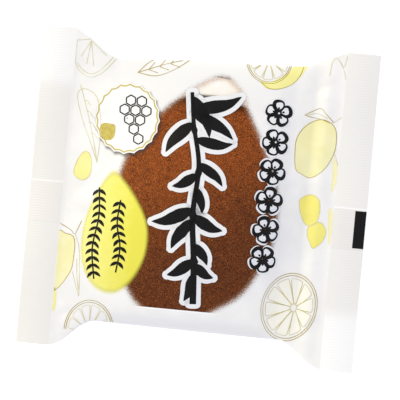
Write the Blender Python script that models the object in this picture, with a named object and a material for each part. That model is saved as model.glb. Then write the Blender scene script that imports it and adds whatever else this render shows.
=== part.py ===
# A dorayaki sealed in a printed flow-wrap film, lying flat.
# Metres, +Z up. The origin is the middle of the face it rests on. X runs from
# one crimped end seal to the other, and the two side folds lie at +Y and -Y.
# The film is drawn tight round the cake: it lies on the cake's dome, falls in
# straight slopes to the end seals, and closes in flat ears at the corners.

import bmesh
import bpy
import numpy as np

MM = 0.001

# The wrapper, laid flat.
PACK_LENGTH = 127.2 * MM
PACK_WIDTH = 120.0 * MM
SEAL_WIDTH = 12.4 * MM
SEAL_THICKNESS = 1.0 * MM

# The cake inside, which gives the body its lens-shaped dome. Its underside is
# flat out to a smaller radius, where the soft cake has settled.
CAKE_DIAMETER = 89.0 * MM
CAKE_CENTRE_Y = -4.9 * MM
CAKE_DOME_POWER = 3.4
CAKE_DOME_EXPONENT = 1.9
CAKE_TOP = 30.4 * MM
SETTLED_RADIUS = 26.0 * MM
SETTLED_POWER = 2.2
SETTLED_EXPONENT = 0.7

# Heights above the surface that the pack rests on.
FOLD_HEIGHT = 14.0 * MM
SEAL_HEIGHT = 15.0 * MM
SEAL_DROOP = 2.0 * MM
SEAL_WAVE = 0.6 * MM
SEAL_WAVE_LENGTH = 62.0 * MM

# The end seal at +X stands a little higher than the other, and the film dips
# between it and the cake.
SEAL_LIFT = 1.1 * MM
SEAL_LIFT_SPAN = (40.0 * MM, 47.0 * MM)
DIP_DEPTH = 1.3 * MM
DIP_FALL_SPAN = (26.0 * MM, 34.0 * MM)
DIP_RISE_SPAN = (40.0 * MM, 45.5 * MM)
DIP_FADE = 0.25
DIP_LEAVES = 0.25

# The slack film round the cake: a low pillow with round side folds and a flat
# brim before each end seal.
PILLOW_RISE = 12.0 * MM
PILLOW_END_POWER = 2.2
PILLOW_END_EXPONENT = 1.5
PILLOW_SIDE_POWER = 2.5
PILLOW_SIDE_EXPONENT = 0.556
DRAPE_RADIUS = 4.0 * MM
UNDERSIDE_PRESS = 0.6 * MM

# Shallow pleats that start at the end seals.
PLEAT_DEPTH = 0.3 * MM
PLEAT_LENGTH = 15.0 * MM
PLEAT_PITCH = 13.0 * MM
PLEAT_DRIFT = 1.7
PLEAT_PHASE = 2.0
PLEAT_CAKE_FADE = 3.0

# The back seam: two film edges welded together and laid flat to one side.
FIN_ROOT_Y = 1.5 * MM
FIN_EDGE_Y = -14.0 * MM
FIN_THICKNESS = 0.6 * MM
FIN_STEP = 0.3 * MM

# The side folds seen from above, as (x, y) points in millimetres: the width
# draws in from the flat seals to the waist round the cake.
FAR_FOLD = [
    (-50.8, 60.0),
    (-48.4, 57.7),
    (-45.4, 56.8),
    (-40.0, 52.0),
    (-35.0, 49.6),
    (-8.0, 51.8),
    (15.0, 52.4),
    (35.5, 53.4),
    (44.5, 57.0),
    (51.2, 60.0),
]
NEAR_FOLD = [
    (-51.2, -60.0),
    (-47.4, -58.6),
    (-45.0, -56.6),
    (-40.0, -51.6),
    (-36.0, -49.4),
    (5.0, -50.0),
    (36.5, -50.2),
    (42.2, -54.2),
    (46.2, -57.6),
    (51.2, -60.0),
]
FOLD_SMOOTHING = 1.5 * MM
FOLD_SAMPLES = 7

# Mesh stations.
BODY_STATIONS = 38
SEAL_STATIONS = 4
INNER_HALF_WIDTH = 30.0 * MM
INNER_STEP = 3.0 * MM
OUTER_LINES = 9

FILM_WHITE = (0.90, 0.90, 0.88, 1.0)
FILM_ROUGHNESS = 0.32

HALF_LENGTH = PACK_LENGTH / 2
HALF_WIDTH = PACK_WIDTH / 2
SEAL_ROOT_X = HALF_LENGTH - SEAL_WIDTH
TOP_RISE = CAKE_TOP - FOLD_HEIGHT
UNDERSIDE_DROP = FOLD_HEIGHT + UNDERSIDE_PRESS


def clear_scene():
    for item in list(bpy.data.objects):
        bpy.data.objects.remove(item, do_unlink=True)


def fold_line(points, x):
    """The y of a side fold at x, with its corners rounded off."""
    xs = [point[0] * MM for point in points]
    ys = [point[1] * MM for point in points]
    offsets = np.linspace(-FOLD_SMOOTHING, FOLD_SMOOTHING, FOLD_SAMPLES)
    return float(np.mean([np.interp(x + offset, xs, ys) for offset in offsets]))


def drape(cake, slack, radius):
    """The larger of two heights, bridged by taut film where they cross."""
    return (cake + slack + np.sqrt((cake - slack) ** 2 + radius ** 2)) / 2


def smooth_step(value, low, high):
    """0 below low, 1 above high, and an even turn between them."""
    share = np.clip((value - low) / (high - low), 0.0, 1.0)
    return share ** 2 * (3 - 2 * share)


def middle_height(x, y):
    """Height of the surface that the folds and the end seals lie in."""
    along = min(abs(x) / SEAL_ROOT_X, 1.0)
    height = FOLD_HEIGHT + (SEAL_HEIGHT - FOLD_HEIGHT) * along ** 3
    height += SEAL_LIFT * smooth_step(x, *SEAL_LIFT_SPAN)
    out = max(abs(x) - SEAL_ROOT_X, 0.0) / SEAL_WIDTH
    wave = SEAL_WAVE * np.sin(2 * np.pi * y / SEAL_WAVE_LENGTH + np.sign(x))
    return height - SEAL_DROOP * out ** 2 + wave * out


def dip(x, across):
    """How far the upper film sinks between the cake and the higher end seal."""
    inside = smooth_step(1 - np.abs(across), 0.0, DIP_FADE)
    along = smooth_step(x, *DIP_FALL_SPAN) - smooth_step(x, *DIP_RISE_SPAN)
    return DIP_DEPTH * inside * along


def pillow(x, across):
    """Share of the slack film's rise: 1 in the middle, 0 at the seals and folds."""
    along = min(abs(x) / SEAL_ROOT_X, 1.0)
    ends = (1 - along ** PILLOW_END_POWER) ** PILLOW_END_EXPONENT
    sides = (1 - np.abs(across) ** PILLOW_SIDE_POWER) ** PILLOW_SIDE_EXPONENT
    return ends * sides


def dome(x, y, flat_radius, power, exponent):
    """Share of the cake's rise under the film, by distance from its centre."""
    distance = np.hypot(x, y - CAKE_CENTRE_Y)
    reach = np.maximum(distance - flat_radius, 0.0) / (CAKE_DIAMETER / 2 - flat_radius)
    return np.maximum(1 - reach ** power, 0.0) ** exponent


def pleats(x, y, cake):
    """Gathers in the slack film that fade away from the end seals and off the cake."""
    fade = np.clip((SEAL_ROOT_X - abs(x)) / PLEAT_LENGTH, 0.0, 1.0)
    away = 1 - np.clip(PLEAT_CAKE_FADE * cake, 0.0, 1.0)
    drift = PLEAT_DRIFT * np.sin(y / PLEAT_PITCH) + PLEAT_PHASE * np.sign(x)
    turn = 2 * np.pi * y / PLEAT_PITCH + drift
    return PLEAT_DEPTH * np.sin(turn) * np.sin(np.pi * fade) * away


def rise(x, y, across, cake_rise, cake):
    """How far the film stands off the middle surface, up or down."""
    slack = pillow(x, across)
    film = drape(cake_rise * cake, PILLOW_RISE * slack, DRAPE_RADIUS * slack)
    film = film + pleats(x, y, cake) * (slack > 0)
    inside = np.abs(across) < 1
    return np.where(inside, np.maximum(film, SEAL_THICKNESS / 2), 0.0)


def top_height(x, y, across):
    cake = dome(x, y, 0.0, CAKE_DOME_POWER, CAKE_DOME_EXPONENT)
    film = rise(x, y, across, TOP_RISE, cake)
    return middle_height(x, y) + np.maximum(film - dip(x, across), DIP_LEAVES * film)


def bottom_height(x, y, across):
    """The underside: the same drape, pressed flat where the pack rests, with the back seam."""
    cake = dome(x, y, SETTLED_RADIUS, SETTLED_POWER, SETTLED_EXPONENT)
    height = middle_height(x, y) - rise(x, y, across, UNDERSIDE_DROP, cake)
    inside = np.minimum(FIN_ROOT_Y - y, y - FIN_EDGE_Y) / FIN_STEP
    return np.maximum(height - FIN_THICKNESS * np.clip(inside, 0.0, 1.0), 0.0)


def cross_lines():
    """The y lines of the middle of the pack, which also mark the back seam's edges."""
    steps = np.arange(-INNER_HALF_WIDTH, INNER_HALF_WIDTH + INNER_STEP / 2, INNER_STEP)
    edges = [FIN_ROOT_Y, FIN_ROOT_Y - FIN_STEP, FIN_EDGE_Y + FIN_STEP, FIN_EDGE_Y]
    clear = [y for y in steps if min(abs(y - edge) for edge in edges) > INNER_STEP / 3]
    return np.array(sorted(clear + edges))


def station_lines(x):
    """All the y values of one cross-section, closest together at the round folds."""
    near = fold_line(NEAR_FOLD, x)
    far = fold_line(FAR_FOLD, x)
    turn = np.sin(np.linspace(0, np.pi / 2, OUTER_LINES + 1))[1:]
    inner = cross_lines()
    upper = INNER_HALF_WIDTH + (far - INNER_HALF_WIDTH) * turn
    lower = -INNER_HALF_WIDTH + (near + INNER_HALF_WIDTH) * turn
    y = np.concatenate([lower[::-1], inner, upper])
    across = 2 * (y - near) / (far - near) - 1
    across[0] = -1.0
    across[-1] = 1.0
    return y, across


def stations():
    """The x values of the cross-sections, closest together near the end seals."""
    body = SEAL_ROOT_X * np.sin(np.linspace(-np.pi / 2, np.pi / 2, BODY_STATIONS))
    seal = np.linspace(SEAL_ROOT_X, HALF_LENGTH, SEAL_STATIONS + 1)[1:]
    return np.concatenate([-seal[::-1], body, seal])


def add_section(mesh, x):
    """One closed loop of vertices round the pack at x: its top line and its underside line."""
    y, across = station_lines(x)
    top = top_height(x, y, across)
    bottom = bottom_height(x, y, across)
    upper = [mesh.verts.new((x, y[i], top[i])) for i in range(len(y))]
    inner = [mesh.verts.new((x, y[i], bottom[i])) for i in range(1, len(y) - 1)]
    return upper, [upper[0]] + inner + [upper[-1]]


def skin(mesh, before, after):
    """Faces between two neighbouring lines, which may share their end points."""
    for i in range(len(before) - 1):
        corners = [before[i], after[i], after[i + 1], before[i + 1]]
        mesh.faces.new(list(dict.fromkeys(corners)))


def film_material():
    material = bpy.data.materials.new("printed_film")
    material.use_nodes = True
    shader = material.node_tree.nodes["Principled BSDF"]
    shader.inputs["Base Color"].default_value = FILM_WHITE
    shader.inputs["Roughness"].default_value = FILM_ROUGHNESS
    shader.inputs["Metallic"].default_value = 0.0
    return material


def sealed_pack():
    mesh = bmesh.new()
    sections = [add_section(mesh, x) for x in stations()]
    for (upper_a, lower_a), (upper_b, lower_b) in zip(sections, sections[1:]):
        skin(mesh, upper_a, upper_b)
        skin(mesh, lower_a, lower_b)
    for upper, lower in (sections[0], sections[-1]):
        skin(mesh, upper, lower)
    bmesh.ops.recalc_face_normals(mesh, faces=mesh.faces)
    bmesh.ops.triangulate(mesh, faces=mesh.faces)
    data = bpy.data.meshes.new("sealed_pack")
    mesh.to_mesh(data)
    mesh.free()
    data.materials.append(film_material())
    data.shade_smooth()
    item = bpy.data.objects.new("sealed_pack", data)
    bpy.context.collection.objects.link(item)
    return item


clear_scene()
sealed_pack()
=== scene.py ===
# The looks of a dorayaki in its wrapper: the film with its clear window, the
# crimped end seals, the back seam, the cake inside and the print on the film.
# Metres, +Z up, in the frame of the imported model.
import math

import bmesh
import bpy
import numpy as np
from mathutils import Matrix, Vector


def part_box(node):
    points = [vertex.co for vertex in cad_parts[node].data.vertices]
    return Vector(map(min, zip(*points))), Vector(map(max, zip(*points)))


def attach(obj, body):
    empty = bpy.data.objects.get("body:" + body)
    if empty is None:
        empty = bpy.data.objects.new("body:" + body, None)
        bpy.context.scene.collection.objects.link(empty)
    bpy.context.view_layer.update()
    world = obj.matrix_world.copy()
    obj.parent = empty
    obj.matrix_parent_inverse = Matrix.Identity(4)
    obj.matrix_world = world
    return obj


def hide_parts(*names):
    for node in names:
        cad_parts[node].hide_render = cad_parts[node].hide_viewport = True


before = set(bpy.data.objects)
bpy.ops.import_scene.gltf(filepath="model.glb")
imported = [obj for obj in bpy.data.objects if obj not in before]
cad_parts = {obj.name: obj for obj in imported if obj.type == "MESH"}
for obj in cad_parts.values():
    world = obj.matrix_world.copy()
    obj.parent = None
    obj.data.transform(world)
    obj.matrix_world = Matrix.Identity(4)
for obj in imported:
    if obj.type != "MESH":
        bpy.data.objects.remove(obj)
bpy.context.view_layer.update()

PACK_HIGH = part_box("sealed_pack")[1]
MM = 0.001

# The wrapper's form, as in the solid that these pieces replace.
HALF_LENGTH = PACK_HIGH.x
SEAL_WIDTH = 12.4 * MM
SEAL_ROOT_X = HALF_LENGTH - SEAL_WIDTH
CAKE_RADIUS = 44.5 * MM
CAKE_CENTRE_Y = -4.9 * MM
CAKE_DOME_POWER = 3.4
CAKE_DOME_EXPONENT = 1.9
CAKE_TOP = 30.25 * MM
SETTLED_RADIUS = 26.0 * MM
SETTLED_POWER = 2.2
SETTLED_EXPONENT = 0.7
FOLD_HEIGHT = 14.0 * MM
SEAL_HEIGHT = 15.0 * MM
SEAL_DROOP = 2.0 * MM
SEAL_WAVE = 0.6 * MM
SEAL_WAVE_LENGTH = 62.0 * MM
PILLOW_RISE = 12.0 * MM
PILLOW_END_POWER = 2.2
PILLOW_END_EXPONENT = 1.5
PILLOW_SIDE_POWER = 2.5
PILLOW_SIDE_EXPONENT = 0.556
DRAPE_RADIUS = 4.0 * MM
UNDERSIDE_PRESS = 0.6 * MM
PLEAT_DEPTH = 0.3 * MM
PLEAT_LENGTH = 15.0 * MM
PLEAT_PITCH = 13.0 * MM
PLEAT_DRIFT = 1.7
PLEAT_PHASE = 2.0
PLEAT_CAKE_FADE = 3.0
FIN_ROOT_Y = 1.5 * MM
FIN_EDGE_Y = -14.0 * MM
FAR_FOLD = [
    (-50.8, 60), (-48.4, 57.7), (-45.4, 56.8), (-40, 52), (-35, 49.6),
    (-8, 51.8), (15, 52.4), (35.5, 53.4), (44.5, 57), (51.2, 60),
]
NEAR_FOLD = [
    (-51.2, -60), (-47.4, -58.6), (-45, -56.6), (-40, -51.6), (-36, -49.4),
    (5, -50), (36.5, -50.2), (42.2, -54.2), (46.2, -57.6), (51.2, -60),
]
FOLD_SMOOTHING = 1.5 * MM
FOLD_SAMPLES = 7

# The right end seal stands a little higher, and the film dips between it and the cake.
SEAL_LIFT = 1.1 * MM
SEAL_LIFT_SPAN = (40.0 * MM, 47.0 * MM)
DIP_DEPTH = 1.3 * MM
DIP_FALL_SPAN = (26.0 * MM, 34.0 * MM)
DIP_RISE_SPAN = (40.0 * MM, 45.5 * MM)
DIP_FADE = 0.25

# Creases in the upper film, in millimetres: both ends, depth and half width.
# A negative depth stands up.
CREASES = [
    ((30, 5), (39.5, 9.8), 0.40, 2.0),
    ((50, 49.5), (36, 42), 0.30, 1.5),
    ((49.5, 42), (39, 43), -0.20, 1.2),
    ((50, -48), (39, -41.5), 0.30, 1.5),
    ((49.8, -39), (41, -43.5), -0.20, 1.1),
    ((-50, -49.5), (-40.5, -45), 0.40, 1.4),
    ((-50.2, -43), (-43, -46.5), -0.25, 1.1),
    ((-50, 48.5), (-39, 43.5), 0.30, 1.5),
    ((-50.2, 40), (-42, 42), -0.20, 1.2),
    ((-50.4, 23.5), (-43.5, 21.5), 0.15, 1.0),
    ((50.4, 16), (42, 19), 0.15, 1.1),
    ((50.4, -20), (43, -22), 0.15, 1.1),
    ((-34, -46.6), (12, -47.4), 0.16, 0.6),
    ((-6, -47.4), (35, -47.2), 0.16, 0.6),
]

# The cake: its rim, the upper and lower pancake's rise from the rim, and the waist between them.
CAKE_EDGE_RADIUS = 43.9 * MM
CRUST_RISE = 17.2 * MM
CRUST_POWER = 3.2
CRUST_EXPONENT = 0.5
CRUST_DROP = 12.8 * MM
CRUST_LOW_EXPONENT = 0.6
CAKE_WAIST = 0.9 * MM
RIM_HALF = 0.6 * MM
CAKE_SIDES = 240
CAKE_RINGS = 60

# The cake isn't quite round: waves round its rim, their share of the radius and phase.
CAKE_WAVES = [(3, 0.004, 1), (7, 0.003, 0)]

# The film itself.
FILM_HALF = 0.15 * MM
FILM_GAP = 0.2 * MM
CRIMP_PITCH = 1.0 * MM
CRIMP_DEPTH = 0.035 * MM
CRIMP_MARGIN = 0.9 * MM
SEAM_STEP = 0.12 * MM
SEAM_STEP_WIDTH = 0.35 * MM
BODY_STATIONS = 190
BODY_BUNCHING = 0.3
INNER_HALF_WIDTH = 30.0 * MM
INNER_STEP = 0.6 * MM
OUTER_LINES = 42
SEAL_STATIONS = 9
SEAL_LINES = 721
WELD_DISTANCE = 0.001 * MM

# The back seam: it hangs a little off the body towards its edge, and is never quite on the ground.
FIN_STATIONS = 260
FIN_LINES = 24
FIN_THICKNESS = 0.10 * MM
FIN_HANG = 0.25 * MM
FIN_HANG_WIDTH = 2 * MM
FIN_RIB = 0.05 * MM
FIN_RIB_PITCH = 1.4 * MM
FIN_LEAST_TOP = 0.12 * MM
FIN_LEAST_THICKNESS = 0.05 * MM
GROUND_GAP = 0.01 * MM

# The back film's inside at the window's far end: a ring segment whose inner edge tucks down.
INNER_FILM_RADII = (42.9 * MM, 51.0 * MM)
INNER_FILM_ANGLES = (50, 126)
INNER_FILM_GRID = (28, 120)
INNER_FILM_DEPTH = 0.5 * MM
TUCK_RADIUS = 44.4 * MM
TUCK_WIDTH = 1.5 * MM
TUCK_DEPTH = 2.2 * MM

# The window in the print, in millimetres: an egg with a stippled edge, cut straight at the near side.
WINDOW_OUTLINE = [
    (29.4, -6), (28.2, 6), (23.4, 18), (18.8, 27), (15.2, 33.8), (11.8, 41),
    (5, 45.6), (-4.4, 41), (-14.6, 32.2), (-22.5, 22.5), (-27.8, 12.5), (-30.2, 2),
    (-30.6, -8), (-29, -20), (-24.6, -32.4), (-18.6, -41), (-9, -46.5),
    (2, -45), (10, -40.2), (18.5, -34), (25.2, -23), (28.6, -14),
]
WINDOW_STEP = 0.8
WINDOW_FADE = (-1.6, 3.0)
WINDOW_CUT_Y = -42.2 * MM
WELL_OUTSIDE = 50.0
POINTS_AT_ONCE = 4000
CLEAR_ALPHA = 0.004

# Stipple round the window: its cells, how far their sizes spread, and its share of the fade.
STIPPLE_CELL = 0.3 * MM
STIPPLE_SPREAD = 0.2
STIPPLE_SHARE = 0.35

# How far the print stands off the film, lowest layer first.
FIELD_LIFT = 0.04 * MM
HALO_LIFT = 0.07 * MM
INK_LIFT = 0.10 * MM
PRINT_MARGIN = 0.35 * MM
CITRUS_LIMIT = SEAL_ROOT_X - 0.2 * MM
LINE_STEP = 0.55
CURVE_SAMPLES = 24
LEAST_HALF_WIDTH = 0.02

RNG = np.random.default_rng(24)


# Surfaces of the wrapper

def fold_line(points, x):
    """The y of a side fold at x, with its corners rounded off."""
    xs = [point[0] * MM for point in points]
    ys = [point[1] * MM for point in points]
    offsets = np.linspace(-FOLD_SMOOTHING, FOLD_SMOOTHING, FOLD_SAMPLES)
    return np.mean([np.interp(x + offset, xs, ys) for offset in offsets], axis=0)


def position_across(x, y):
    """-1 at the near fold and 1 at the far fold."""
    near = fold_line(NEAR_FOLD, x)
    far = fold_line(FAR_FOLD, x)
    return np.clip(2 * (y - near) / (far - near) - 1, -1, 1)


def smooth_step(value, low, high):
    """0 below low, 1 above high, and an even turn between them."""
    share = np.clip((value - low) / (high - low), 0.0, 1.0)
    return share ** 2 * (3 - 2 * share)


def middle_height(x, y):
    """Height of the surface that the folds and the end seals lie in."""
    along = np.minimum(np.abs(x) / SEAL_ROOT_X, 1.0)
    height = FOLD_HEIGHT + (SEAL_HEIGHT - FOLD_HEIGHT) * along ** 3
    height = height + SEAL_LIFT * smooth_step(x, *SEAL_LIFT_SPAN)
    out = np.maximum(np.abs(x) - SEAL_ROOT_X, 0.0) / SEAL_WIDTH
    wave = SEAL_WAVE * np.sin(2 * np.pi * y / SEAL_WAVE_LENGTH + np.sign(x))
    return height - SEAL_DROOP * out ** 2 + wave * out


def pillow(x, across):
    """Share of the slack film's rise: 1 in the middle, 0 at the seals and folds."""
    along = np.minimum(np.abs(x) / SEAL_ROOT_X, 1.0)
    ends = (1 - along ** PILLOW_END_POWER) ** PILLOW_END_EXPONENT
    sides = (1 - np.abs(across) ** PILLOW_SIDE_POWER) ** PILLOW_SIDE_EXPONENT
    return ends * sides


def dome(x, y, flat_radius, power, exponent):
    """Share of the cake's rise under the film, by distance from its centre."""
    distance = np.hypot(x, y - CAKE_CENTRE_Y)
    reach = np.maximum(distance - flat_radius, 0.0) / (CAKE_RADIUS - flat_radius)
    return np.maximum(1 - reach ** power, 0.0) ** exponent


def dip(x, y):
    """How far the upper film sinks between the cake and the higher end seal."""
    inside = smooth_step(1 - np.abs(position_across(x, y)), 0.0, DIP_FADE)
    along = smooth_step(x, *DIP_FALL_SPAN) - smooth_step(x, *DIP_RISE_SPAN)
    return DIP_DEPTH * inside * along


def pleats(x, y, cake):
    """Gathers in the slack film that fade away from the end seals and off the cake."""
    fade = np.clip((SEAL_ROOT_X - np.abs(x)) / PLEAT_LENGTH, 0.0, 1.0)
    away = 1 - np.clip(PLEAT_CAKE_FADE * cake, 0.0, 1.0)
    drift = PLEAT_DRIFT * np.sin(y / PLEAT_PITCH) + PLEAT_PHASE * np.sign(x)
    turn = 2 * np.pi * y / PLEAT_PITCH + drift
    return PLEAT_DEPTH * np.sin(turn) * np.sin(np.pi * fade) * away


def rise(x, y, cake_rise, cake):
    """How far the film stands off the middle surface, up or down."""
    slack = pillow(x, position_across(x, y))
    film = (cake_rise * cake + PILLOW_RISE * slack) / 2
    gap = cake_rise * cake - PILLOW_RISE * slack
    film = film + np.sqrt(gap ** 2 + (DRAPE_RADIUS * slack) ** 2) / 2
    film = film + pleats(x, y, cake) * np.clip(slack * 4, 0, 1)
    return np.maximum(film, FILM_HALF)


def creases(x, y):
    """Shallow folds pressed into the slack film, deepest in the middle of their length."""
    depth = 0.0
    for start, end, fall, half_width in CREASES:
        from_x = x - start[0] * MM
        from_y = y - start[1] * MM
        along_x = (end[0] - start[0]) * MM
        along_y = (end[1] - start[1]) * MM
        length = math.hypot(along_x, along_y)
        share = (from_x * along_x + from_y * along_y) / length ** 2
        off = (from_y * along_x - from_x * along_y) / length
        taper = smooth_step(share, 0.0, 0.4) * (1 - smooth_step(share, 0.5, 1.0))
        depth = depth + fall * MM * taper * np.exp(-(off / (half_width * MM)) ** 2)
    return depth


def crimp(x, y):
    """Fine ribs across the end seals, and the step where the back seam runs through them."""
    inside = np.minimum(np.abs(x) - SEAL_ROOT_X, HALF_LENGTH - np.abs(x))
    share = np.clip(inside / CRIMP_MARGIN, 0.0, 1.0)
    ribs = CRIMP_DEPTH * np.sin(2 * np.pi * y / CRIMP_PITCH)
    edge = np.minimum(FIN_ROOT_Y - y, y - FIN_EDGE_Y)
    return (ribs + SEAM_STEP * smooth_step(edge, 0.0, SEAM_STEP_WIDTH)) * share


def top_height(x, y):
    cake = dome(x, y, 0.0, CAKE_DOME_POWER, CAKE_DOME_EXPONENT)
    film = rise(x, y, CAKE_TOP - FOLD_HEIGHT, cake)
    film = np.maximum(film - dip(x, y) - creases(x, y), FILM_HALF)
    return middle_height(x, y) + film + crimp(x, y)


def bottom_height(x, y):
    cake = dome(x, y, SETTLED_RADIUS, SETTLED_POWER, SETTLED_EXPONENT)
    drop = rise(x, y, FOLD_HEIGHT + UNDERSIDE_PRESS, cake)
    return np.maximum(middle_height(x, y) - drop + crimp(x, y), FILM_HALF)


def top_points(x, y, lift):
    """Points at a small distance off the upper film, along its normal."""
    step = 0.2 * MM
    slope_x = (top_height(x + step, y) - top_height(x - step, y)) / (2 * step)
    slope_y = (top_height(x, y + step) - top_height(x, y - step)) / (2 * step)
    normal = np.stack([-slope_x, -slope_y, np.ones_like(x)], axis=-1)
    normal /= np.linalg.norm(normal, axis=-1, keepdims=True)
    return np.stack([x, y, top_height(x, y)], axis=-1) + lift * normal


# Meshes

def grid_faces(rows, columns, start=0, closed=False, flip=False):
    """Quads between the points of a grid, row by row."""
    row = np.arange(rows - 1)[:, None]
    column = np.arange(columns if closed else columns - 1)[None, :]
    after = (column + 1) % columns
    corners = [row * columns + column, row * columns + after]
    corners += [(row + 1) * columns + after, (row + 1) * columns + column]
    quads = np.stack(np.broadcast_arrays(*corners), axis=-1).reshape(-1, 4) + start
    return quads[:, ::-1] if flip else quads


def closed_band(x, y, over, under, flip):
    """Points and quads of a flat band between two surfaces, closed on all sides.

    The quads that close its two ends have points of their own, so they don't tilt its shading.
    """
    top = np.stack([x, y, over], axis=-1)
    bottom = np.stack([x, y, under], axis=-1)
    loop = np.concatenate([top, bottom[:, ::-1]], axis=1)
    rows, columns = loop.shape[:2]
    out = np.arange(columns // 2 - 1)
    first = np.stack([out + 1, out, columns - 1 - out, columns - 2 - out], axis=-1) + rows * columns
    ends = np.concatenate([first, first[:, ::-1] + columns])
    sides = grid_faces(rows, columns, closed=True, flip=flip)
    points = np.concatenate([loop, loop[:1], loop[-1:]]).reshape(-1, 3)
    return points, np.concatenate([sides, ends[:, ::-1] if flip else ends])


def new_object(name, data):
    item = bpy.data.objects.new(name, data)
    bpy.context.scene.collection.objects.link(item)
    return item


def make_piece(name, points, faces, materials, slot, material_index=None):
    """A mesh object that rides on the pack's one body."""
    data = bpy.data.meshes.new(name)
    data.from_pydata(np.asarray(points).tolist(), [], [list(face) for face in faces])
    for material in materials:
        data.materials.append(material)
    if material_index is not None:
        data.polygons.foreach_set("material_index", material_index)
    data.shade_smooth()
    data.update()
    item = new_object(name, data)
    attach(item, "root")
    return item


def add_layer(item, name, values):
    """One number for each point of a piece, for its material to read."""
    layer = item.data.attributes.new(name, "FLOAT", "POINT")
    layer.data.foreach_set("value", np.asarray(values, np.float32))


def weld(item):
    """Joins the grid edges that lie on each other."""
    mesh = bmesh.new()
    mesh.from_mesh(item.data)
    bmesh.ops.remove_doubles(mesh, verts=mesh.verts, dist=WELD_DISTANCE)
    mesh.to_mesh(item.data)
    mesh.free()


# Materials

class Nodes:
    """Short forms for the nodes of one material."""

    def __init__(self, name):
        self.material = bpy.data.materials.new(name)
        self.material.use_nodes = True
        self.tree = self.material.node_tree
        self.shader = self.tree.nodes["Principled BSDF"]

    def add(self, kind, **settings):
        node = self.tree.nodes.new("ShaderNode" + kind)
        for key, value in settings.items():
            setattr(node, key, value)
        return node

    def link(self, source, target):
        """Puts a number, a colour or another node's output into a socket."""
        if isinstance(source, tuple):
            target.default_value = (*source, 1.0)
        elif isinstance(source, (int, float)):
            target.default_value = source
        else:
            self.tree.links.new(source, target)

    def feed(self, node, **values):
        for key, value in values.items():
            self.link(value, node.inputs[key.replace("_", " ")])

    def set(self, **values):
        self.feed(self.shader, **values)

    def math(self, operation, *values, clamp=False):
        node = self.add("Math", operation=operation, use_clamp=clamp)
        for value, socket in zip(values, node.inputs):
            self.link(value, socket)
        return node.outputs[0]

    def ramp(self, value, low, high, to_low=0.0, to_high=1.0, smooth=True):
        node = self.add("MapRange", interpolation_type="SMOOTHSTEP" if smooth else "LINEAR")
        self.feed(node, Value=value, From_Min=low, From_Max=high, To_Min=to_low, To_Max=to_high)
        return node.outputs["Result"]

    def mix(self, share, first, second):
        """A mixed colour. The node's colour sockets are its inputs 6 and 7."""
        node = self.add("Mix", data_type="RGBA")
        self.link(share, node.inputs["Factor"])
        self.link(first, node.inputs[6])
        self.link(second, node.inputs[7])
        return node.outputs[2]

    def place(self):
        return self.add("TexCoord").outputs["Object"]

    def along(self):
        """The place along X and along Y."""
        node = self.add("SeparateXYZ")
        self.feed(node, Vector=self.place())
        return node.outputs[0], node.outputs[1]

    def layer(self, name):
        """A number that the piece's points carry."""
        return self.add("Attribute", attribute_name=name).outputs["Fac"]

    def noise(self, size, detail=3.0, rough=0.5):
        """Noise whose features are about size across."""
        node = self.add("TexNoise")
        self.feed(node, Scale=1 / size, Detail=detail, Roughness=rough, Vector=self.place())
        return node.outputs["Fac"]

    def bump(self, height, strength, distance, before=None):
        node = self.add("Bump")
        self.feed(node, Strength=strength, Distance=distance, Height=height)
        if before is not None:
            self.feed(node, Normal=before)
        return node.outputs["Normal"]


def srgb(red, green, blue):
    """A colour given in display values of 0 to 255, as linear light."""
    shares = (red / 255, green / 255, blue / 255)
    return tuple(c / 12.92 if c <= 0.04045 else ((c + 0.055) / 1.055) ** 2.4 for c in shares)


FILM_WHITE = srgb(247, 247, 246)
FILM_SHADE = srgb(242, 242, 241)
SEAL_SEAM = srgb(237, 233, 230)
CREAM = srgb(254, 251, 246)
CREAM_SHADE = srgb(249, 244, 234)

# Painted shade of the crimp ribs: the end seals are warm grey, darkest in bands at the ribs' pitch. The
# left end seal is a little darker than the right one.
SEAL_RIB_SHADE = {-1: srgb(236, 235, 232), 1: srgb(244, 243, 239)}
# Painted light: each end seal turns paler towards one end, where the real flap bends towards the light.
# The same colour paints the highlight at the back seam's edge.
SEAL_PAINTED_LIGHT = {-1: srgb(245, 246, 247), 1: srgb(254, 255, 255)}
SEAL_PAINTED_LIGHT_FROM = 35 * MM
SEAL_PAINTED_LIGHT_TO = 42 * MM
SEAL_RIB_LEAST = 0.75
SEAM_SHARE = 0.6
# A thin painted highlight along the edge of the back seam's step in the seals.
SEAM_HIGHLIGHT_Y = FIN_ROOT_Y + 0.2 * MM
SEAM_HIGHLIGHT_SPAN = (0.15 * MM, 0.45 * MM)
FILM_SPECULAR = 0.35
INK_SPECULAR = 0.2
CRUST_SPECULAR = 0.1

# The wave texture has 20 radians to a length of one at scale one.
WAVE_SCALE = 2 * math.pi / 20

# Where the print thins out round the window, the cake's colour shows in it.
WINDOW_EDGE_TINT = srgb(216, 172, 140)
WINDOW_TINT_SPAN = (0.1, 0.85)

# A painted highlight runs along the window's straight cut, just below it.
CUT_HIGHLIGHT_WHITE = srgb(255, 255, 255)
CUT_HIGHLIGHT_FROM = 0.4 * MM
CUT_HIGHLIGHT_TO = 0.8 * MM

# The upper film has painted shade along its far flank, and in a narrow band at the near fold, where the
# film turns down.
# The spans are in positions across the pack, -1 at the near fold and 1 at the far one.
FAR_SHADE = srgb(243, 243, 242)
FAR_SHADE_SPAN = (0.62, 0.84)
FAR_SHADE_END = (26 * MM, 38 * MM)
NEAR_SHADE = srgb(234, 234, 235)
NEAR_SHADE_SPAN = (-0.97, -0.86)


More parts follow.
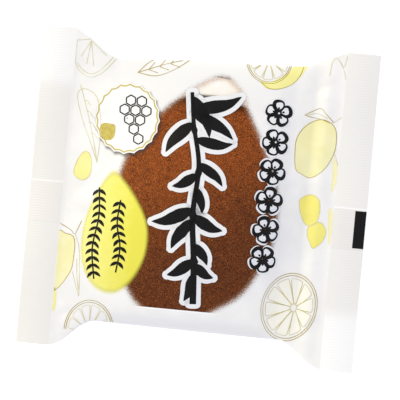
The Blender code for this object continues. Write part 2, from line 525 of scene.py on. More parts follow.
def film_surface(nodes):
    """Satin film: faint blotches in the white print, and fine slack wrinkles."""
    blotch = nodes.noise(9 * MM, 4.0)
    colour = nodes.mix(nodes.ramp(blotch, 0.35, 0.65), FILM_WHITE, FILM_SHADE)
    shine = nodes.ramp(nodes.noise(5 * MM), 0.3, 0.7, 0.30, 0.42)
    wrinkle = nodes.noise(4.5 * MM, 2.0, 0.4)
    grain = nodes.noise(0.5 * MM, 2.0)
    normal = nodes.bump(wrinkle, 0.25, 0.25 * MM)
    normal = nodes.bump(grain, 0.10, 0.04 * MM, normal)
    nodes.set(Roughness=shine, Normal=normal, Specular_IOR_Level=FILM_SPECULAR)
    return colour


def window_film():
    """The upper film: white print that ends in stipple round the clear window, with painted shade along
    its flanks and a painted highlight along the window's cut.
    """
    nodes = Nodes("window_film")
    white = film_surface(nodes)
    x, y = nodes.along()
    across = nodes.layer("across")
    # Painted shade along the far flank and at the near fold, fading out beside the seals.
    beside_seal = nodes.ramp(nodes.math("ABSOLUTE", x), *FAR_SHADE_END, 1.0, 0.0)
    far = nodes.math("MULTIPLY", nodes.ramp(across, *FAR_SHADE_SPAN), beside_seal)
    near = nodes.math("MULTIPLY", nodes.ramp(across, *NEAR_SHADE_SPAN, 1.0, 0.0), beside_seal)
    flank = nodes.mix(near, nodes.mix(far, white, FAR_SHADE), NEAR_SHADE)
    cover = nodes.ramp(nodes.layer("outside_window"), *WINDOW_FADE)
    cut = nodes.math("LESS_THAN", y, WINDOW_CUT_Y)
    thick = nodes.math("MAXIMUM", nodes.ramp(cover, *WINDOW_TINT_SPAN), cut)
    # Painted highlight just below the window's straight cut.
    by_cut = nodes.ramp(y, WINDOW_CUT_Y - CUT_HIGHLIGHT_TO, WINDOW_CUT_Y - CUT_HIGHLIGHT_FROM)
    cut_highlight = nodes.math("MULTIPLY", by_cut, nodes.math("SUBTRACT", 1.0, cover))
    band = nodes.mix(cut_highlight, flank, CUT_HIGHLIGHT_WHITE)
    cell = nodes.add("TexVoronoi", feature="F1")
    nodes.feed(cell, Scale=1 / STIPPLE_CELL, Vector=nodes.place())
    spot = nodes.add("SeparateColor")
    nodes.link(cell.outputs["Color"], spot.inputs[0])
    wide = nodes.ramp(cover, 0.0, 1.0, -STIPPLE_SPREAD, 1 + STIPPLE_SPREAD, smooth=False)
    dots = nodes.math("SUBTRACT", wide, spot.outputs[0])
    dots = nodes.math("MULTIPLY", nodes.ramp(dots, -STIPPLE_SPREAD, STIPPLE_SPREAD), STIPPLE_SHARE)
    soft = nodes.math("MULTIPLY_ADD", cover, 1 - STIPPLE_SHARE, dots)
    printed = nodes.math("MAXIMUM", soft, cut)
    alpha = nodes.ramp(printed, 0.0, 1.0, CLEAR_ALPHA, 1.0, smooth=False)
    nodes.set(Base_Color=nodes.mix(thick, WINDOW_EDGE_TINT, band), Alpha=alpha)
    return nodes.material


def plain_film(name):
    nodes = Nodes(name)
    nodes.set(Base_Color=film_surface(nodes))
    return nodes.material


def seal_film(name, side):
    """Two films welded together, with fine cross ribs: painted shade of the ribs in warm grey bands, a
    painted highlight along the back seam's edge, and painted light that makes it paler towards one end.
    """
    nodes = Nodes(name)
    base = film_surface(nodes)
    y = nodes.along()[1]
    bands = nodes.add("TexWave", wave_type="BANDS", bands_direction="Y", wave_profile="SIN")
    nodes.feed(bands, Scale=WAVE_SCALE / CRIMP_PITCH, Distortion=0.0, Vector=nodes.place())
    # Painted shade of the crimp ribs: bands at their pitch turn the seal towards warm grey.
    ribs = nodes.ramp(bands.outputs["Fac"], 0.0, 1.0, SEAL_RIB_LEAST, 1.0)
    warm = nodes.mix(ribs, base, SEAL_RIB_SHADE[side])
    from_root = nodes.math("SUBTRACT", FIN_ROOT_Y, y)
    from_edge = nodes.math("SUBTRACT", y, FIN_EDGE_Y)
    into_seam = nodes.math("MINIMUM", from_root, from_edge)
    seamed = nodes.mix(nodes.ramp(into_seam, 0.0, SEAM_STEP_WIDTH, 0.0, SEAM_SHARE), warm, SEAL_SEAM)
    # Painted highlight along the edge of the back seam's step.
    from_highlight = nodes.math("ABSOLUTE", nodes.math("SUBTRACT", y, SEAM_HIGHLIGHT_Y))
    seam_lit = nodes.mix(nodes.ramp(from_highlight, *SEAM_HIGHLIGHT_SPAN, 1.0, 0.0), seamed, SEAL_PAINTED_LIGHT[side])
    # Painted light: paler towards one end of the seal.
    clear = nodes.ramp(nodes.math("MULTIPLY", y, -side), SEAL_PAINTED_LIGHT_FROM, SEAL_PAINTED_LIGHT_TO)
    nodes.set(Base_Color=nodes.mix(clear, seam_lit, SEAL_PAINTED_LIGHT[side]))
    return nodes.material


CRUST_LIGHT = srgb(144, 72, 27)
CRUST_DARK = srgb(103, 53, 25)
CRUST_PORE = srgb(50, 22, 9)
CRUST_SPECK = srgb(214, 130, 56)
CRUST_RIM = srgb(226, 150, 62)
CRUST_SIDE = srgb(240, 205, 130)

# The crust is darker, and its specks are fainter, towards the near right: partly painted shade away from
# the light at the upper left, partly uneven browning.
SLANT_X = 0.45
SLANT_Y = -0.9
SLANT_BLUR = 24 * MM
SLANT_SPAN = (-8 * MM, 34 * MM)
RIM_SPAN = (41.8 * MM, 43.1 * MM)
SIDE_SPAN = (43.0 * MM, 43.7 * MM)

# How much the blotches add where an ink's colour also changes along X, and where a soft edge starts.
BLOTCH_SHARE = 0.15
SOFT_EDGE_FROM = 0.86


def cake_crust():
    """Griddle-browned crust: brown with painted shade towards the near right, fine crumb, small pores, a
    golden rim.
    """
    nodes = Nodes("cake_crust")
    x, y = nodes.along()
    from_centre = nodes.math("SUBTRACT", y, CAKE_CENTRE_Y)
    squares = [nodes.math("MULTIPLY", side, side) for side in (x, from_centre)]
    distance = nodes.math("SQRT", nodes.math("ADD", *squares))
    # Painted shade, with uneven browning: darker towards the near right, away from the light.
    shade_slant = nodes.math("MULTIPLY_ADD", x, SLANT_X, nodes.math("MULTIPLY", y, SLANT_Y))
    shade_slant = nodes.math("MULTIPLY_ADD", nodes.noise(22 * MM), SLANT_BLUR, shade_slant)
    brown = nodes.mix(nodes.ramp(shade_slant, *SLANT_SPAN), CRUST_LIGHT, CRUST_DARK)
    patches = nodes.ramp(nodes.noise(2.6 * MM, 4.0, 0.6), 0.46, 0.66, 0.0, 0.35)
    brown = nodes.mix(patches, brown, CRUST_PORE)
    pores = nodes.ramp(nodes.noise(0.5 * MM, 2.0, 0.6), 0.50, 0.64, 0.0, 0.75)
    brown = nodes.mix(pores, brown, CRUST_PORE)
    specks = nodes.ramp(nodes.noise(0.42 * MM, 2.0, 0.6), 0.56, 0.68, 0.0, 0.7)
    specks = nodes.math("MULTIPLY", specks, nodes.ramp(shade_slant, *SLANT_SPAN, 1.0, 0.55))
    brown = nodes.mix(specks, brown, CRUST_SPECK)
    golden = nodes.mix(nodes.ramp(distance, *RIM_SPAN), brown, CRUST_RIM)
    colour = nodes.mix(nodes.ramp(distance, *SIDE_SPAN), golden, CRUST_SIDE)
    shine = nodes.ramp(nodes.noise(2 * MM), 0.3, 0.7, 0.55, 0.75)
    normal = nodes.bump(nodes.noise(0.7 * MM, 3.0, 0.65), 0.8, 0.15 * MM)
    normal = nodes.bump(nodes.noise(6 * MM), 0.5, 0.5 * MM, normal)
    nodes.set(Base_Color=colour, Roughness=shine, Normal=normal, Specular_IOR_Level=CRUST_SPECULAR)
    return nodes.material


def ink(name, usual, darker, size=1.5 * MM, span=None):
    """Printed ink in two display colours, darker in blotches, or also along X over a span."""
    nodes = Nodes(name)
    share = nodes.ramp(nodes.noise(size, 4.0, 0.6), 0.35, 0.65)
    if span is not None:
        along = nodes.ramp(nodes.along()[0], *span, smooth=False)
        share = nodes.math("MULTIPLY_ADD", share, BLOTCH_SHARE, along, clamp=True)
    colour = nodes.mix(share, srgb(*usual), srgb(*darker))
    shine = nodes.ramp(nodes.noise(4 * MM), 0.3, 0.7, 0.32, 0.45)
    normal = nodes.bump(nodes.noise(0.6 * MM, 2.0), 0.1, 0.04 * MM)
    nodes.set(Base_Color=colour, Roughness=shine, Normal=normal, Specular_IOR_Level=INK_SPECULAR)
    return nodes


def soft_ink(name, usual, darker, strength=1.0, span=None):
    """Ink whose edge fades out, by the piece's own reach value: 0 in the middle, 1 at the rim."""
    nodes = ink(name, usual, darker, 3 * MM, span)
    nodes.set(Alpha=nodes.ramp(nodes.layer("reach"), SOFT_EDGE_FROM, 1.0, strength, 0.0))
    return nodes.material


# The wrapper's pieces

def body_stations():
    """Places along the tube, a little closer together towards the end seals."""
    share = np.linspace(-1, 1, BODY_STATIONS)
    bunched = np.sin(share * np.pi / 2)
    return SEAL_ROOT_X * ((1 - BODY_BUNCHING) * share + BODY_BUNCHING * bunched)


def body_lines(x):
    """All the y values of one cross-section, closest together at the round folds."""
    near = fold_line(NEAR_FOLD, x)
    far = fold_line(FAR_FOLD, x)
    inner = np.arange(-INNER_HALF_WIDTH, INNER_HALF_WIDTH + INNER_STEP / 2, INNER_STEP)
    turn = np.sin(np.linspace(0, np.pi / 2, OUTER_LINES + 1))[1:]
    upper = inner[-1] + (far - inner[-1]) * turn
    lower = inner[0] + (near - inner[0]) * turn
    return np.concatenate([lower[::-1], inner, upper])


def outside_window(xy):
    """How far points of the plan, in millimetres, lie outside the window, negative inside."""
    outline = closed_curve(WINDOW_OUTLINE, WINDOW_STEP)
    after = np.roll(outline, -1, axis=0)
    along = after - outline
    result = np.empty(len(xy))
    for start in range(0, len(xy), POINTS_AT_ONCE):
        point = xy[start:start + POINTS_AT_ONCE, None]
        offset = point - outline
        share = np.clip((offset * along).sum(-1) / (along ** 2).sum(-1), 0, 1)
        near = np.linalg.norm(offset - share[..., None] * along, axis=-1).min(axis=1)
        above = (outline[:, 1] > point[..., 1]) != (after[:, 1] > point[..., 1])
        crossing = outline[:, 0] + offset[..., 1] * along[:, 0] / (along[:, 1] + 1e-12)
        inside = (above & (point[..., 0] < crossing)).sum(axis=1) % 2 == 1
        result[start:start + POINTS_AT_ONCE] = np.where(inside, -near, near)
    return result


def film_tube():
    """The tube of film round the cake, from one end seal to the other."""
    x = body_stations()
    y = np.array([body_lines(station) for station in x])
    x = np.repeat(x[:, None], y.shape[1], axis=1)
    top = np.stack([x, y, top_height(x, y)], axis=-1)
    bottom = np.stack([x, y, bottom_height(x, y)], axis=-1)
    folds = (top[:, [0, -1]] + bottom[:, [0, -1]]) / 2
    top[:, [0, -1]] = folds
    bottom[:, [0, -1]] = folds
    rows, columns = y.shape
    upper = grid_faces(rows, columns, flip=True)
    lower = grid_faces(rows, columns, start=rows * columns)
    points = np.concatenate([top.reshape(-1, 3), bottom.reshape(-1, 3)])
    index = np.repeat([0, 1], [len(upper), len(lower)])
    faces = np.concatenate([upper, lower])
    materials = [window_film(), plain_film("back_film")]
    item = make_piece("film_tube", points, faces, materials, "film", index)
    distance = np.full(len(points), WELL_OUTSIDE)
    distance[:rows * columns] = outside_window(points[:rows * columns, :2] / MM)
    add_layer(item, "outside_window", distance)
    add_layer(item, "across", position_across(points[:, 0], points[:, 1]))
    weld(item)
    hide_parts("sealed_pack")


def end_seal(side, name, material):
    """One flat crimped end, both films welded together."""
    x = side * np.linspace(SEAL_ROOT_X, HALF_LENGTH, SEAL_STATIONS)
    near = fold_line(NEAR_FOLD, x)[:, None]
    far = fold_line(FAR_FOLD, x)[:, None]
    y = near + (far - near) * np.linspace(0, 1, SEAL_LINES)
    x = np.repeat(x[:, None], SEAL_LINES, axis=1)
    middle = middle_height(x, y) + crimp(x, y)
    band = closed_band(x, y, middle + FILM_HALF, middle - FILM_HALF, flip=side > 0)
    make_piece(name, *band, [material], "film")


def back_seam(material):
    """The welded edges of the film, folded flat along the underside."""
    x = np.linspace(-SEAL_ROOT_X, SEAL_ROOT_X, FIN_STATIONS)
    y = np.linspace(FIN_EDGE_Y, FIN_ROOT_Y, FIN_LINES)
    x, y = np.meshgrid(x, y, indexing="ij")
    rib = FIN_RIB * np.sin(2 * np.pi * x / FIN_RIB_PITCH)
    hang = FIN_HANG * np.clip((FIN_ROOT_Y - y) / FIN_HANG_WIDTH, 0, 1)
    under = bottom_height(x, y) - hang
    over = np.maximum(under + FIN_THICKNESS, FIN_LEAST_TOP)
    under = np.clip(under + rib, GROUND_GAP, over - FIN_LEAST_THICKNESS)
    make_piece("back_seam", *closed_band(x, y, over, under, flip=True), [material], "film")


def cake():
    """Two browned pancakes, pressed together at the rim, with a little waist between them."""
    angles = np.linspace(0, 2 * np.pi, CAKE_SIDES, endpoint=False)
    share = np.sin(np.linspace(0, np.pi / 2, CAKE_RINGS))
    rings = CAKE_EDGE_RADIUS * share
    up = np.maximum(1 - share ** CRUST_POWER, 0) ** CRUST_EXPONENT
    top = FOLD_HEIGHT + RIM_HALF + (CRUST_RISE - RIM_HALF) * up
    low_share = np.maximum(rings - SETTLED_RADIUS, 0) / (CAKE_EDGE_RADIUS - SETTLED_RADIUS)
    down = np.maximum(1 - low_share ** SETTLED_POWER, 0) ** CRUST_LOW_EXPONENT
    low = FOLD_HEIGHT - RIM_HALF - (CRUST_DROP - RIM_HALF) * down
    rings = np.concatenate([rings[1:], [CAKE_EDGE_RADIUS - CAKE_WAIST], rings[:0:-1]])
    heights = np.concatenate([top[1:], [FOLD_HEIGHT], low[:0:-1]])
    wobble = 1 + sum(size * np.sin(count * angles + phase) for count, size, phase in CAKE_WAVES)
    x = rings[:, None] * np.cos(angles) * wobble
    y = rings[:, None] * np.sin(angles) * wobble + CAKE_CENTRE_Y
    z = np.minimum(heights[:, None], top_height(x, y) - FILM_GAP)
    z = np.maximum(z, bottom_height(x, y) + FILM_GAP)
    points = np.stack([x, y, z], axis=-1).reshape(-1, 3)
    faces = grid_faces(len(rings), len(angles), closed=True, flip=True).tolist()
    faces.append(list(range(len(angles))))
    faces.append(list(range(len(points) - 1, len(points) - 1 - len(angles), -1)))
    make_piece("cake", points, faces, [cake_crust()], "cake")


def inner_film():
    """The back film's cream inside, which comes up past the cake's far edge behind the window."""
    rows, columns = INNER_FILM_GRID
    radius = np.linspace(*INNER_FILM_RADII, rows)[:, None]
    angle = np.radians(np.linspace(*INNER_FILM_ANGLES, columns))
    x = radius * np.cos(angle)
    y = radius * np.sin(angle) + CAKE_CENTRE_Y
    tuck = TUCK_DEPTH * np.clip((TUCK_RADIUS - radius) / TUCK_WIDTH, 0, 1) ** 2
    z = top_height(x, y) - INNER_FILM_DEPTH - tuck
    nodes = Nodes("inner_film")
    cream = nodes.mix(nodes.ramp(nodes.noise(6 * MM), 0.35, 0.65), CREAM, CREAM_SHADE)
    normal = nodes.bump(nodes.noise(3 * MM, 2.0), 0.3, 0.2 * MM)
    nodes.set(Base_Color=cream, Roughness=0.45, Normal=normal)
    points = np.stack([x, y, z], axis=-1).reshape(-1, 3)
    faces = grid_faces(rows, columns, flip=True)
    make_piece("inner_film", points, faces, [nodes.material], "film")


# Print: flat shapes in the pack's plan, in millimetres, laid on the upper film

class Shapes:
    """A collection of small grids of plan points that become one printed piece."""

    def __init__(self):
        self.points = []
        self.faces = []
        self.reach = []
        self.count = 0

    def grid(self, xy, reach=None, closed=False):
        rows, columns = xy.shape[:2]
        self.points.append(xy.reshape(-1, 2))
        self.reach.append((np.zeros((rows, columns)) if reach is None else reach).reshape(-1))
        self.faces.append(grid_faces(rows, columns, self.count, closed))
        self.count += rows * columns

    def stroke(self, line, half_widths, across=3, closed=False):
        """A band along a line, with its own half width at each point."""
        if closed:
            direction = np.roll(line, -1, axis=0) - np.roll(line, 1, axis=0)
        else:
            direction = np.gradient(line, axis=0)
        direction /= np.maximum(np.linalg.norm(direction, axis=1, keepdims=True), 1e-9)
        side = np.stack([-direction[:, 1], direction[:, 0]], axis=1)
        side *= np.maximum(np.broadcast_to(half_widths, len(line)), LEAST_HALF_WIDTH)[:, None]
        share = np.linspace(-1, 1, across)[:, None, None]
        band = line + share * side
        self.grid(band if closed else band[::-1].swapaxes(0, 1), closed=closed)

    def blob(self, outline, rings=12):
        """A filled shape, from its middle out to a closed outline."""
        after = np.roll(outline, -1, axis=0)
        if (outline[:, 0] * after[:, 1] - outline[:, 1] * after[:, 0]).sum() > 0:
            outline = outline[::-1]
        centre = outline.mean(axis=0)
        share = np.linspace(0.02, 1, rings)
        xy = centre + share[:, None, None] * (outline - centre)[None]
        self.grid(xy, np.repeat(share[:, None], len(outline), axis=1), closed=True)

    def lay(self, name, material, slot, lift, limit=HALF_LENGTH):
        """One piece on the upper film, cut off at the side folds and at limit along the pack."""
        xy = np.concatenate(self.points) * MM
        faces = np.concatenate(self.faces)
        x = np.clip(xy[:, 0], -limit, limit)
        near = fold_line(NEAR_FOLD, x) + PRINT_MARGIN
        far = fold_line(FAR_FOLD, x) - PRINT_MARGIN
        y = np.clip(xy[:, 1], near, far)
        outside = (x != xy[:, 0]) | (y != xy[:, 1])
        faces = faces[~outside[faces].all(axis=1)]
        item = make_piece(name, top_points(x, y, lift), faces, [material], slot)
        add_layer(item, "reach", np.concatenate(self.reach))


def smooth_line(points, closed=False, step=LINE_STEP):
    """A smooth curve through the points, with a point about every step."""
    points = np.array(points, float)
    if closed:
        padded = np.concatenate([points[-1:], points, points[:2]])
    else:
        before = 2 * points[:1] - points[1:2]
        beyond = 2 * points[-1:] - points[-2:-1]
        padded = np.concatenate([before, points, beyond])
    t = np.linspace(0, 1, CURVE_SAMPLES, endpoint=False)[:, None]
    parts = []
    for a, b, c, d in zip(padded, padded[1:], padded[2:], padded[3:]):
        square = (2 * a - 5 * b + 4 * c - d) * t ** 2
        cube = (3 * b - a - 3 * c + d) * t ** 3
        parts.append((2 * b + (c - a) * t + square + cube) / 2)
    parts.append(points[:1] if closed else points[-1:])
    dense = np.concatenate(parts)
    length = np.concatenate([[0], np.cumsum(np.linalg.norm(np.diff(dense, axis=0), axis=1))])
    count = max(int(length[-1] / step), 6)
    at = np.linspace(0, length[-1], count + 1)
    return np.stack([np.interp(at, length, dense[:, k]) for k in (0, 1)], axis=1)


def closed_curve(points, step=LINE_STEP):
    return smooth_line(points, closed=True, step=step)[:-1]


def turned(points, centre, angle, scale=1):
    """Plan points scaled, then turned anticlockwise by angle degrees about the origin, then moved."""
    a = math.radians(angle)
    points = np.array(points, float) * scale
    turn = np.array([[math.cos(a), math.sin(a)], [-math.sin(a), math.cos(a)]])
    return points @ turn + centre


# Ink sprig and small marks that stand in the middle of the window and beside it

# A brush stroke: the step along it, and how much and how fast its width wavers.
BRUSH_STEP = 0.45
BRUSH_WAVER = 0.12
BRUSH_RUN = 5

# A leaf's middle line, in shares of its length and its bend.
LEAF_LINE = [(0, 0), (0.35, 0.55), (0.7, 0.8), (1, 0)]

# The white halo behind the brush strokes, and the number of points in its rounded ends.
HALO_MARGIN = 1.7
HALO_CAP = 5


def leaf_half_width(t, width):
    """A brushed leaf: a thin start, widest at two fifths, and a long pointed tip."""
    return width / 2 * np.clip(np.sin(np.pi * t ** 0.75), 0, 1) ** 0.8


def add_halo(halo, line, half):
    """The same stroke, longer and wider by the halo's margin, with round ends."""
    share = np.linspace(1, 0, HALO_CAP, endpoint=False)
    steps = HALO_MARGIN * share[:, None]
    start = (line[0] - line[1]) / np.linalg.norm(line[0] - line[1])
    end = (line[-1] - line[-2]) / np.linalg.norm(line[-1] - line[-2])
    longer = np.concatenate([line[0] + start * steps, line, line[-1] + end * steps[::-1]])
    cap = HALO_MARGIN * np.sqrt(1 - share ** 2)
    wider = np.concatenate([half[0] + cap, half + HALO_MARGIN, (half[-1] + cap)[::-1]])
    halo.stroke(longer, wider, across=9)


def brush_leaf(strokes, halo, base, angle, length, width, bend):
    """One brush stroke leaf, and the white halo behind it unless halo is None."""
    line = smooth_line(turned(LEAF_LINE, base, angle, (length, bend)), step=BRUSH_STEP)
    t = np.linspace(0, 1, len(line))
    waver = RNG.normal(0, BRUSH_WAVER, len(line) + BRUSH_RUN - 1)
    waver = np.convolve(waver, np.ones(BRUSH_RUN) / BRUSH_RUN, "valid")
    half = leaf_half_width(t, width)
    strokes.stroke(line, half + waver * np.sin(np.pi * t), across=7)
    if halo is not None:
        add_halo(halo, line, half)


SPRIG_STEM = [(1.5, -39.5), (0.4, -24), (-1.6, -6), (-1, 12), (-4.2, 27), (-6, 39.5)]
SPRIG_LEAVES = [
    (-6, 38, -62, 17, 4.8, 1.6), (-5.2, 33, 20, 19, 5, -1.8),
    (-5, 31.5, -28, 18, 4.6, 1.4), (-4.6, 28, -128, 15, 4.6, -1.2),
    (-3, 22, -2, 14, 4.2, -1.4), (-1.4, 13, -38, 12.5, 3.8, 1.2),
    (-1.2, 9, -150, 10.5, 3.8, 1), (-1.3, 4, -72, 10, 3.4, 0.8),
    (-1.8, -4, -158, 16, 4.8, 1.5), (-1.6, -6.5, -22, 12.5, 4.4, -1.2),
    (-1.4, -8, -122, 13.5, 4.4, -1), (-0.4, -17, -52, 9.5, 3.6, 0.8),
    (0.3, -23, -146, 11.5, 4.2, 1), (0.4, -24.5, -30, 9, 3.8, -1),
    (0.6, -28.0, -104, 11.0, 3.8, 0.8),
]
STEM_HALF_WIDTH = 1.25
STEM_TAPER = 0.55
STEM_KNOTS = np.array([0.2, 0.42, 0.62, 0.82])
KNOT_LENGTH = 0.012
KNOT_SWELL = 0.5


def ink_sprig(dark, white):
    """A leafy sprig in broad brush strokes down the middle of the window, with a white halo."""
    strokes, halo = Shapes(), Shapes()
    stem = smooth_line(SPRIG_STEM, step=BRUSH_STEP)
    t = np.linspace(0, 1, len(stem))
    knots = np.exp(-((t[:, None] - STEM_KNOTS) / KNOT_LENGTH) ** 2).sum(axis=1)
    half = (STEM_HALF_WIDTH - STEM_TAPER * t) * (1 + KNOT_SWELL * knots)
    strokes.stroke(stem, half, across=5)
    add_halo(halo, stem, half)
    for x, y, *leaf in SPRIG_LEAVES:
        brush_leaf(strokes, halo, (x, y), *leaf)
    strokes.lay("ink_sprig", dark, "dark_ink", INK_LIFT)
    halo.lay("ink_sprig_halo", white, "white_ink", HALO_LIFT)


BLOSSOMS = 6
BLOSSOM_START = np.array([26.9, 34.6])
BLOSSOM_PITCH = np.array([-0.2, -11.0])
BLOSSOM_SCALE = 4.7 / 4.75
BLOSSOM_HALO_SCALE = 5.8 / 4.75
BLOSSOM_TURN = 23
PETALS = 5
PETAL = [(0.9, 0), (2.4, 1.75), (4.2, 1.6), (4.75, 0), (4.2, -1.6), (2.4, -1.75)]
STAMEN = [(2.45, 0), (1.9, 0.4), (1.35, 0), (1.9, -0.4)]


def blossom(strokes, halo, centre, turn):
    """A five-petalled flower in brush line."""
    for k in range(PETALS):
        angle = turn + k * 360 / PETALS
        line = closed_curve(turned(PETAL, centre, angle, BLOSSOM_SCALE), 0.4)
        half = 0.52 + 0.22 * np.sin(np.linspace(0, 2 * np.pi, len(line)) + k)
        strokes.stroke(line, half, closed=True)
        halo.blob(closed_curve(turned(PETAL, centre, angle, BLOSSOM_HALO_SCALE), 0.6), 7)
        strokes.blob(closed_curve(turned(STAMEN, centre, angle), 0.3), 4)


def blossom_column(dark, white):
    strokes, halo = Shapes(), Shapes()
    for k in range(BLOSSOMS):
        blossom(strokes, halo, BLOSSOM_START + k * BLOSSOM_PITCH, 90 + BLOSSOM_TURN * k)
    strokes.lay("blossom_column", dark, "dark_ink", INK_LIFT)
    halo.lay("blossom_column_halo", white, "white_ink", HALO_LIFT)


# Badge

BADGE_CENTRE = (-29.4, 27.6)
BADGE_RADII = (12.4, 13.6)
BADGE_SCALLOPS = 20
BADGE_HOLLOW = 0.045
SHADOW_SCALE = 1.08
SHADOW_OFFSET = (0.5, -0.8)
RING_SCALE = 0.94
THIN_HALF_WIDTH = 0.24
COMB_CELLS = [(0, 0), (0, 1), (1, -1), (1, 0), (1, 1), (2, 0), (2, 1), (3, 0), (4, 1)]
COMB_START = (-28.6, 34.4)
COMB_PITCH = (4.1, 3.55)
CELL_TURN = 4
CELL_CORNERS = [(0, 2), (1.73, 1), (1.73, -1), (0, -2), (-1.73, -1), (-1.73, 1), (0, 2)]
POT_OUTLINE = [
    (-39.4, 22), (-39, 24.3), (-37.6, 25.1), (-35.2, 25), (-33.7, 24.6),
    (-33.4, 22.4), (-33.7, 20.2), (-35, 18.9), (-37.4, 18.9), (-38.9, 20),
]


def scalloped(scale, count=400):
    """The badge's edge: round hollows between outward points."""
    angle = np.linspace(0, 2 * np.pi, count, endpoint=False)
    hollow = np.abs(np.sin(angle * BADGE_SCALLOPS / 2))
    radius = scale * (1 - BADGE_HOLLOW * hollow)
    circle = np.stack([np.cos(angle), np.sin(angle)], axis=1)
    return BADGE_CENTRE + BADGE_RADII * circle * radius[:, None]


def lay_blob(name, outline, rings, material, slot, lift):
    """One filled shape as a piece of its own."""
    shape = Shapes()
    shape.blob(outline, rings)
    shape.lay(name, material, slot, lift)


def badge(dark, gold):
    shade = soft_ink("badge_shadow_ink", (74, 62, 60), (64, 54, 54), strength=0.6)
    outline = scalloped(SHADOW_SCALE) + SHADOW_OFFSET
    lay_blob("badge_shadow", outline, 30, shade, "dark_ink", FIELD_LIFT)
    white = ink("badge_white_ink", (248, 249, 249), (245, 246, 247), 5 * MM).material
    lay_blob("badge_field", scalloped(1), 26, white, "white_ink", HALO_LIFT)
    ring = Shapes()
    ring.stroke(scalloped(RING_SCALE), THIN_HALF_WIDTH, closed=True)
    ring.lay("badge_ring", gold, "gold_ink", INK_LIFT)
    comb = Shapes()
    for row, column in COMB_CELLS:
        x = COMB_START[0] + COMB_PITCH[0] * (column + row % 2 / 2)
        y = COMB_START[1] - COMB_PITCH[1] * row
        corners = turned(CELL_CORNERS, (x, y), CELL_TURN)
        for a, b in zip(corners, corners[1:]):
            comb.stroke(np.linspace(a, b, 6), THIN_HALF_WIDTH)
    comb.lay("honeycomb_mark", dark, "dark_ink", INK_LIFT)
    lay_blob("pot_mark", closed_curve(POT_OUTLINE), 8, gold, "gold_ink", INK_LIFT)


# Yellow field with two thin sprigs

FIELD_OUTLINE = np.array([
    (-32.6, 7.4), (-28.2, 4.4), (-22.6, -2.6), (-18.6, -10), (-17.4, -17), (-18.4, -25),
    (-22.2, -33), (-27.4, -37.8), (-33.6, -37.9), (-38.8, -33.6), (-41.8, -26.4), (-42.4, -18),
    (-41, -8.6), (-37, 1.6),
])
FIELD_SCALE = 1.05
FIELD_SPAN = (-42 * MM, -22 * MM)
FIELD_STEMS = [
    [(-28.9, -3.2), (-29.4, -12), (-27.6, -21), (-28.4, -30.4)],
    [(-37.4, 0.8), (-36.6, -10), (-38, -22), (-36.4, -33.6)],
]
FIELD_STEM_HALF_WIDTH = 0.28

# Small leaves in pairs: the points between pairs, their angle off the stem, length, width and bend.
SMALL_LEAF_PITCH = 7
SMALL_LEAF_ANGLE = 48
SMALL_LEAF_SIZE = (3.4, 1.25)
SMALL_LEAF_BEND = 0.3


def yellow_field(dark):
    centre = FIELD_OUTLINE.mean(axis=0)
    outline = closed_curve((FIELD_OUTLINE - centre) * FIELD_SCALE + centre)
    yellow = soft_ink("yellow_field_ink", (252, 248, 155), (233, 227, 84), span=FIELD_SPAN)
    lay_blob("yellow_field", outline, 34, yellow, "yellow_ink", FIELD_LIFT)
    sprigs = Shapes()
    for stem in FIELD_STEMS:
        line = smooth_line(stem, step=0.4)
        sprigs.stroke(line, FIELD_STEM_HALF_WIDTH)
        for k in range(2, len(line) - 4, SMALL_LEAF_PITCH):
            heading = math.degrees(math.atan2(*(line[k + 1] - line[k])[::-1]))
            for side in (-1, 1):
                angle = heading + SMALL_LEAF_ANGLE * side
                brush_leaf(sprigs, None, line[k], angle, *SMALL_LEAF_SIZE, SMALL_LEAF_BEND * side)
    sprigs.lay("field_sprigs", dark, "dark_ink", INK_LIFT)


# Citrus prints

# The inks of each fill and of each kind of line: the usual colour and a darker one.
CITRUS_FILLS = {
    "pale": ((248, 244, 196), (245, 240, 182)),
    "soft": ((248, 243, 164), (246, 240, 154)),
    "bright": ((247, 239, 134), (246, 236, 124)),
    "cell": ((249, 248, 240), (247, 245, 233)),
}
CITRUS_LINES = {
    "gold": ((188, 170, 74), (172, 153, 56)),
    "fine": ((212, 204, 146), (201, 192, 126)),
    "faint": ((226, 220, 182), (217, 210, 166)),
}
LINE_WIDTH = 0.20
LINE_SWELL = 0.25
RIND_SCALES = (1.0, 0.93)
CELL_REACH = 0.84
CELL_HUB = 0.10
CELL_GAP = 0.07


